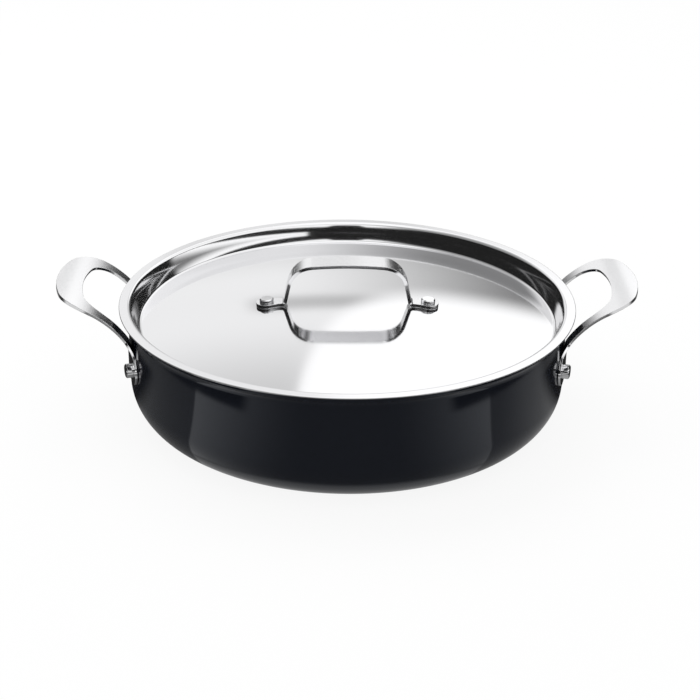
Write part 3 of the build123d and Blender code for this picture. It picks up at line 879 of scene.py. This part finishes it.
def shell_material(colour_value):
    """Very dark anodised aluminium with an even gloss: fine speckle in colour and roughness."""
    material, tree, shader, place = blank_material("dark_anodised_shell", 0.0)
    tinted(tree, shader, colour_value, mottle(tree, place, 2600.0), 0.85, 1.15)
    rough = spread(tree, mottle(tree, place, 60.0), 0.07, 0.09)
    tree.links.new(rough, shader.inputs["Roughness"])
    shader.inputs["IOR"].default_value = 1.5
    shader.inputs["Specular Tint"].default_value = (0.92, 0.97, 1.06, 1.0)
    return material


def inside_material(colour_value):
    """Dark cooking coating: a fine, soft grain."""
    material, tree, shader, place = blank_material("dark_inside_coating", 0.0)
    grain = mottle(tree, place, 1800.0, 4.0)
    tinted(tree, shader, colour_value, grain, 0.8, 1.25)
    tree.links.new(spread(tree, grain, 0.34, 0.44), shader.inputs["Roughness"])
    bumped(tree, shader, grain, 0.25, 0.00005)
    return material


def lid_material(colour_value, dome_edge):
    """Polished steel with faint lathe rings, a touch smoother on the dome than outside it."""
    material, tree, shader, place = blank_material("polished_lid_steel", 1.0)
    turned, distance = rings(tree, place, 1400.0)
    tinted(tree, shader, colour_value, turned, 0.985, 1.0)
    ring = spread(tree, turned, *RING_ROUGHNESS)
    dome = spread(tree, turned, *DOME_ROUGHNESS)
    rough = eased(tree, distance, dome_edge - 0.002, dome_edge, dome, ring)
    tree.links.new(rough, shader.inputs["Roughness"])
    return material


def handle_material(colour_value, name, roughness):
    """Handle steel: long fine strokes in its roughness and its colour, polished low down."""
    material, tree, shader, place = blank_material(name, 1.0)
    drawn = node(tree, "ShaderNodeMapping", place, Scale=(1.0, 0.12, 1.0))
    strokes = mottle(tree, drawn[0], 2200.0, 3.0)
    tinted(tree, shader, colour_value, strokes, 0.97, 1.02)
    height = node(tree, "ShaderNodeSeparateXYZ", place)["Z"]
    rough = eased(tree, height, *LOW_HEIGHTS, LOW_ROUGHNESS, spread(tree, strokes, *roughness))
    tree.links.new(rough, shader.inputs["Roughness"])
    return material


def handle_steel(settings, finish):
    """Steel of all handles and rivets, made once: satin for faces, polished for the rest."""
    name = f"{finish}_handle_steel"
    roughness = {"satin": SATIN_ROUGHNESS, "polished": POLISHED_ROUGHNESS}[finish]
    made = bpy.data.materials.get(name)
    return made or handle_material(settings.finishes.handle_steel, name, roughness)


def disc_material(colour_value):
    """Matt steel with the rings of its facing cut."""
    material, tree, shader, place = blank_material("turned_base_steel", 1.0)
    turned, _ = rings(tree, place, 900.0, 4.0)
    tinted(tree, shader, colour_value, turned, 0.9, 1.05)
    tree.links.new(spread(tree, turned, 0.28, 0.4), shader.inputs["Roughness"])
    bumped(tree, shader, turned, 0.4, 0.00004)
    return material


def floor_material(colour_value):
    """White studio floor: lit by the lamp and the world, with a share of plain white as seen."""
    material, tree, shader, place = blank_material("studio_floor", 0.0)
    tinted(tree, shader, colour_value, mottle(tree, place, 3.0), 0.995, 1.0)
    shader.inputs["Roughness"].default_value = 1.0
    shader.inputs["Specular IOR Level"].default_value = 0.0
    path = node(tree, "ShaderNodeLightPath")
    seen = sums(tree, "MAXIMUM", path["Is Camera Ray"], path["Is Glossy Ray"])
    seen = sums(tree, "MAXIMUM", seen, path["Is Transmission Ray"])
    white = node(tree, "ShaderNodeEmission", Strength=1.0)
    mixed = node(tree, "ShaderNodeMixShader", sums(tree, "MULTIPLY", seen, FLOOR_WHITE),
                 shader.outputs[0], white[0])
    tree.links.new(mixed[0], tree.nodes["Material Output"].inputs["Surface"])
    return material


def card_material():
    """Glowing card round the pan, seen only in reflections, whose tones are a painted reflection
    that the pan's dark wall mirrors.

    In front of one slanting line on each side, the tone goes by the direction from the upright
    axis, from dark in front to bright at the sides. Behind the lines it is one tone on the left,
    and gets lighter away from the viewer on the right. Other tones stand under the pan, beside
    the loop handles, behind the pan, and far out.
    """
    material = bpy.data.materials.new("glowing_reflection_card")
    material.use_nodes = True
    tree = material.node_tree
    tree.nodes.remove(tree.nodes["Principled BSDF"])
    place = node(tree, "ShaderNodeTexCoord")["Object"]
    x, y, _ = node(tree, "ShaderNodeSeparateXYZ", place)
    radius = node(tree, "ShaderNodeVectorMath", place, operation="LENGTH")["Value"]
    aside = sums(tree, "ABSOLUTE", x)
    turn = sums(tree, "ARCTAN2", aside, sums(tree, "MULTIPLY", y, -1.0))
    turn = sums(tree, "MULTIPLY", turn, DEGREES)
    tone = eased(tree, turn, 14.0, 68.0, CARD_FRONT, CARD_SIDE)
    # Painted reflection: dark in a thin ring round the wall, and lighter under the pan.
    tone = eased(tree, radius, 0.148, 0.154, CARD_FRONT, tone)
    tone = eased(tree, radius, 0.146, 0.154, CARD_UNDER, tone)
    left, right = (sums(tree, "MULTIPLY_ADD", aside, slope, y_middle)
                   for slope, y_middle in CARD_LINES)
    past_line = sums(tree, "SUBTRACT", y, eased(tree, x, *CARD_MIDDLE, left, right))
    behind = eased(tree, x, *CARD_MIDDLE, CARD_BACK, eased(tree, y, -0.14, -0.06, 0.22, 0.36))
    tone = eased(tree, past_line, -CARD_EDGE, CARD_EDGE, tone, behind)
    beside = eased(tree, turn, 36.0, 42.0, tone, 0.03)
    tone = eased(tree, radius, 0.264, 0.272, tone, beside)
    rear = eased(tree, radius, 0.235, 0.25, 0.02, 0.16)
    tone = eased(tree, y, -0.03, 0.01, tone, rear)
    far = eased(tree, y, -0.1, 0.1, 0.75, 0.04)
    tone = eased(tree, radius, 0.36, 0.50, tone, far)
    # The card glows with these tones: a painted reflection for the pan's dark wall.
    card = node(tree, "ShaderNodeEmission", Strength=tone)
    tree.links.new(card[0], tree.nodes["Material Output"].inputs["Surface"])
    return material


# ---------------------------------------------------------------------------------------------
# Studio

CAMERA_TURN = math.radians(-1.22)          # about the upright axis, from the side the pan faces
CAMERA_ELEVATION = math.radians(24.6602)   # above level
CAMERA_DISTANCE = 1.15
CAMERA_ROLL = math.radians(0.6454)
CAMERA_AIM = (0.002119, 0.0, 0.043296)     # point that the camera looks at
CAMERA_LENS = 84.233                       # in mm, for the sensor's width below
CAMERA_SENSOR = 36.0
FLOOR_WHITE = 0.9                          # share of plain white in the floor as seen
# The card's tones below are a painted reflection that glows, seen only in the pan's wall.
CARD_FRONT, CARD_SIDE = 0.13, 0.86         # tones of the card before its lines
CARD_BACK, CARD_UNDER = 0.2, 0.46          # behind the left line, and under the pan
CARD_LINES = ((-0.235, -0.0716), (-0.3, -0.0846))   # left and right: slope, and Y in the middle
CARD_MIDDLE = (-0.01, 0.01)                # X between which left goes over into right
CARD_EDGE = 0.0013                         # half the width of the lines' soft edge
SKY_LIGHT = 0.82                           # of the world on diffuse surfaces
SKY_WHITE, SKY_DARK = 1.25, 0.016          # of the world in reflections
KEY_POWER = 9.0
KEY_SIZE = (1.4, 1.0)
KEY_PLACE = Vector((-0.35, 0.6, 1.5))


def level_square(name, half, level, material):
    """Flat square of the stage, from minus to plus half its side, at one height."""
    mesh = bpy.data.meshes.new(name)
    mesh.from_pydata(
        [(-half, -half, level), (half, -half, level), (half, half, level), (-half, half, level)],
        [], [(0, 1, 2, 3)])
    mesh.materials.append(material)
    square = bpy.data.objects.new(name, mesh)
    bpy.context.scene.collection.objects.link(square)
    return square


def camera_matrix():
    """Place of the camera: at its distance, looking down at its aim, rolled, turned about Z."""
    back = Vector((0.0, -math.cos(CAMERA_ELEVATION), math.sin(CAMERA_ELEVATION)))
    up = Vector((0.0, math.sin(CAMERA_ELEVATION), math.cos(CAMERA_ELEVATION)))
    right = Vector((1.0, 0.0, 0.0))
    right, up = (right * math.cos(CAMERA_ROLL) + up * math.sin(CAMERA_ROLL),
                 up * math.cos(CAMERA_ROLL) - right * math.sin(CAMERA_ROLL))
    turn = Matrix((right, up, back)).transposed().to_4x4()
    turn.translation = Vector(CAMERA_AIM) + back * CAMERA_DISTANCE
    return Matrix.Rotation(CAMERA_TURN, 4, "Z") @ turn


def studio_world():
    """Studio round the pan: even light for diffuse surfaces, soft panels for metal to reflect.

    Azimuth is in degrees from the far side towards the right, elevation in degrees above level.
    Behind the pan a wash stands low down that fades to the right, then a thin darker strip, and a
    grey panel. A white softbox covers all of it above its lower edge, which is level on the right
    and rises to the left as the cube of the azimuth. Round the rest it is dark low down, with
    one panel on the right that gets brighter upwards, and light above.
    """
    world = bpy.data.worlds.new("studio")
    bpy.context.scene.world = world
    world.use_nodes = True
    tree = world.node_tree
    x, y, z = node(tree, "ShaderNodeSeparateXYZ", node(tree, "ShaderNodeTexCoord")["Generated"])
    azimuth = sums(tree, "MULTIPLY", sums(tree, "ARCTAN2", x, y), DEGREES)
    elevation = sums(tree, "MULTIPLY", sums(tree, "ARCSINE", z), DEGREES)
    grey = eased(tree, elevation, 25.0, 44.0, 1.04, 0.68)
    wash = eased(tree, azimuth, -4.0, 17.0, 1.03, 0.14)
    wash = sums(tree, "MULTIPLY", wash, eased(tree, elevation, 8.0, 17.0, 0.84, 1.0))
    back = eased(tree, elevation, 20.0, 25.0, wash, grey)
    strip = sums(tree, "MULTIPLY", eased(tree, elevation, 20.0, 22.4),
                 eased(tree, elevation, 22.9, 25.2, 1.0, 0.0))
    strip = sums(tree, "MULTIPLY", strip, eased(tree, azimuth, -6.5, -4.5, 0.0, 0.42))
    back = sums(tree, "MULTIPLY", back, sums(tree, "SUBTRACT", 1.0, strip))
    reach = sums(tree, "MAXIMUM", sums(tree, "SUBTRACT", 8.9, azimuth), 0.0)
    edge = sums(tree, "MULTIPLY_ADD", sums(tree, "POWER", reach, 3.0), 0.0105, 19.1)
    back = eased(tree, sums(tree, "SUBTRACT", elevation, edge), -1.8, 3.2, back, 1.27)
    back = eased(tree, elevation, 42.0, 50.0, back, SKY_WHITE)
    side = sums(tree, "ABSOLUTE", azimuth)
    above = eased(tree, elevation, 36.0, 44.0, eased(tree, x, -0.6, -0.2, 0.3, 1.22),
                  eased(tree, x, -0.8, 0.5, 0.3, 1.1))
    above = eased(tree, elevation, 62.0, 74.0, above, SKY_WHITE)
    panel = eased(tree, elevation, 4.0, 17.0, 0.22, SKY_WHITE)
    panel = eased(tree, elevation, 17.6, 18.8, panel, SKY_DARK)
    panel = eased(tree, azimuth, 157.0, 159.0, panel, SKY_DARK)
    low = eased(tree, azimuth, 68.0, 74.0, SKY_DARK, panel)
    lift = eased(tree, side, 168.0, 174.0, 0.0, 3.5)
    front = eased(tree, sums(tree, "SUBTRACT", elevation, lift), 25.5, 27.8, low, above)
    shown = eased(tree, side, 17.0, 24.0, back, front)
    path = node(tree, "ShaderNodeLightPath")
    seen = sums(tree, "MAXIMUM", path["Is Glossy Ray"], path["Is Transmission Ray"])
    strength = eased(tree, seen, 0.0, 1.0, SKY_LIGHT, shown)
    strength = eased(tree, path["Is Camera Ray"], 0.0, 1.0, strength, 1.0)
    tree.links.new(strength, tree.nodes["Background"].inputs["Strength"])
    tree.nodes["Background"].inputs["Color"].default_value = (1.0, 1.0, 1.0, 1.0)


# ---------------------------------------------------------------------------------------------
# Operators

class BRAISER_OT_pan(bpy.types.Operator):
    """Build the pan's shell with its rolled-out rim, dark outside and inside."""
    bl_idname = "braiser.pan"
    bl_label = "Pan"

    def execute(self, context):
        settings = context.scene.braiser
        pan = settings.pan
        points, faces = turned_surface(pan_profile(pan), around=288)
        corners = np.array([face[:3] for face in faces])
        radius = np.hypot(points[corners, 0], points[corners, 1]).mean(1)
        height = points[corners, 2].mean(1)
        # Inside: within the middle of the wall, of the corner and of the base.
        core = pan.radius - pan.corner
        outwards = np.maximum(radius - core, 0)
        down = np.maximum(pan.disc_proud + pan.corner - height, 0)
        inside = np.hypot(outwards, down) < pan.corner - pan.wall / 2
        inside = inside & (height > pan.disc_proud + pan.base / 2)
        finishes = settings.finishes
        materials = [shell_material(finishes.shell), inside_material(finishes.inside)]
        mesh_piece("pan_shell", points, faces, materials, inside, "pan", "pan_body")
        return {"FINISHED"}


class BRAISER_OT_disc(bpy.types.Operator):
    """Build the steel disc that the pan stands on."""
    bl_idname = "braiser.disc"
    bl_label = "Base disc"

    def execute(self, context):
        settings = context.scene.braiser
        points, faces = turned_surface(disc_profile(settings.pan), around=192)
        steel = disc_material(settings.finishes.base_steel)
        mesh_piece("steel_base", points, faces, [steel], 0, "pan", "base_disc")
        return {"FINISHED"}


class BRAISER_OT_loops(bpy.types.Operator):
    """Build the two loop handles at the ends of the pan."""
    bl_idname = "braiser.loops"
    bl_label = "Loop handles"

    def execute(self, context):
        settings = context.scene.braiser
        points, faces, at_edge = loop_surface(settings)
        materials = [handle_steel(settings, "satin"), handle_steel(settings, "polished")]
        for name, side in (("right", 1.0), ("left", -1.0)):
            mesh_piece(f"loop_handle_{name}", points * (side, 1.0, 1.0), faces, materials, at_edge,
                       "pan", f"side_handle_{name}")
        return {"FINISHED"}


class BRAISER_OT_pan_rivets(bpy.types.Operator):
    """Build the four rivets that hold the loop handles."""
    bl_idname = "braiser.pan_rivets"
    bl_label = "Pan rivets"

    def execute(self, context):
        settings = context.scene.braiser
        materials = [handle_steel(settings, "polished")]
        for name_x, side_x in (("left", -1.0), ("right", 1.0)):
            for name_y, side_y in (("front", -1.0), ("back", 1.0)):
                points, faces = pan_rivet_surface(settings, side_x, side_y)
                mesh_piece(f"pan_rivet_{name_x}_{name_y}", points, faces, materials, 0,
                           "pan", f"handle_rivet_{name_x}_{name_y}")
        return {"FINISHED"}


class BRAISER_OT_lid(bpy.types.Operator):
    """Build the dished lid."""
    bl_idname = "braiser.lid"
    bl_label = "Lid"

    def execute(self, context):
        settings = context.scene.braiser
        points, faces = turned_surface(lid_profile(settings.pan, settings.lid), around=320)
        steel = lid_material(settings.finishes.lid_steel, dome_reach(settings.pan, settings.lid))
        mesh_piece("steel_lid", points, faces, [steel], 0, "lid", "lid_shell")
        return {"FINISHED"}


class BRAISER_OT_strap(bpy.types.Operator):
    """Build the arched strap handle and its two rivets."""
    bl_idname = "braiser.strap"
    bl_label = "Strap handle"

    def execute(self, context):
        settings = context.scene.braiser
        satin, polished = handle_steel(settings, "satin"), handle_steel(settings, "polished")
        points, faces, at_edge = strap_surface(settings)
        mesh_piece("strap_handle", points, faces, [satin, polished], at_edge,
                   "lid", "lid_handle")
        for name, side in (("left", -1.0), ("right", 1.0)):
            points, faces = lid_rivet_surface(settings, side)
            mesh_piece(f"strap_rivet_{name}", points, faces, [polished], 0,
                       "lid", f"lid_rivet_{name}")
        return {"FINISHED"}


class BRAISER_OT_studio(bpy.types.Operator):
    """Set up the floor, the soft light and the camera."""
    bl_idname = "braiser.studio"
    bl_label = "Studio"

    def execute(self, context):
        scene = context.scene
        floor = level_square("floor", 8.0, -0.00005, floor_material(scene.braiser.finishes.floor))
        # A glowing card seen only in reflections: a painted reflection in the pan's dark wall.
        card = level_square("glowing_reflection_card", 3.0, 0.0002, card_material())
        card.visible_camera = card.visible_diffuse = card.visible_shadow = False

        lamp = bpy.data.lights.new("soft_key", "AREA")
        lamp.shape = "RECTANGLE"
        lamp.size, lamp.size_y = KEY_SIZE
        lamp.energy = KEY_POWER
        key = bpy.data.objects.new("soft_key", lamp)
        aim = KEY_PLACE.to_track_quat("Z", "Y").to_matrix().to_4x4()
        key.matrix_world = Matrix.Translation(KEY_PLACE) @ aim
        key.visible_glossy = False
        key.visible_camera = False
        scene.collection.objects.link(key)
        studio_world()

        data = bpy.data.cameras.new("camera")
        data.sensor_width = CAMERA_SENSOR
        data.lens = CAMERA_LENS
        camera = bpy.data.objects.new("camera", data)
        camera.matrix_world = camera_matrix()
        scene.collection.objects.link(camera)
        scene.camera = camera
        scene.view_settings.view_transform = "Standard"
        return {"FINISHED"}


class BRAISER_PT_sidebar(bpy.types.Panel):
    """Lists the braiser's pieces, the studio and the settings."""
    bl_label = "Braiser"
    bl_idname = "BRAISER_PT_sidebar"
    bl_space_type = "VIEW_3D"
    bl_region_type = "UI"
    bl_category = "Braiser"

    def draw(self, context):
        layout = self.layout
        for operator in OPERATORS:
            layout.operator(operator.bl_idname)
        settings = context.scene.braiser
        for group_name in ("pan", "lid", "strap", "loop", "rivets", "finishes"):
            box = layout.box()
            box.label(text=group_name.capitalize())
            group = getattr(settings, group_name)
            for key in type(group).__annotations__:
                box.prop(group, key)


OPERATORS = (
    BRAISER_OT_pan, BRAISER_OT_disc, BRAISER_OT_loops, BRAISER_OT_pan_rivets, BRAISER_OT_lid,
    BRAISER_OT_strap, BRAISER_OT_studio,
)
CLASSES = (
    PanSizes, LidSizes, StrapSizes, LoopSizes, RivetSizes, Finishes, BraiserSettings,
) + OPERATORS + (BRAISER_PT_sidebar,)


def register():
    """Adds the classes, and the settings to every scene."""
    for made in CLASSES:
        bpy.utils.register_class(made)
    bpy.types.Scene.braiser = PointerProperty(type=BraiserSettings)


def unregister():
    """Takes the settings and the classes away again, the last one first."""
    del bpy.types.Scene.braiser
    for made in reversed(CLASSES):
        bpy.utils.unregister_class(made)


def main():
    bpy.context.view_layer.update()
    register()
    bpy.ops.braiser.pan()
    bpy.ops.braiser.disc()
    bpy.ops.braiser.loops()
    bpy.ops.braiser.pan_rivets()
    bpy.ops.braiser.lid()
    bpy.ops.braiser.strap()
    bpy.ops.braiser.studio()


if __name__ == "__main__":
    main()
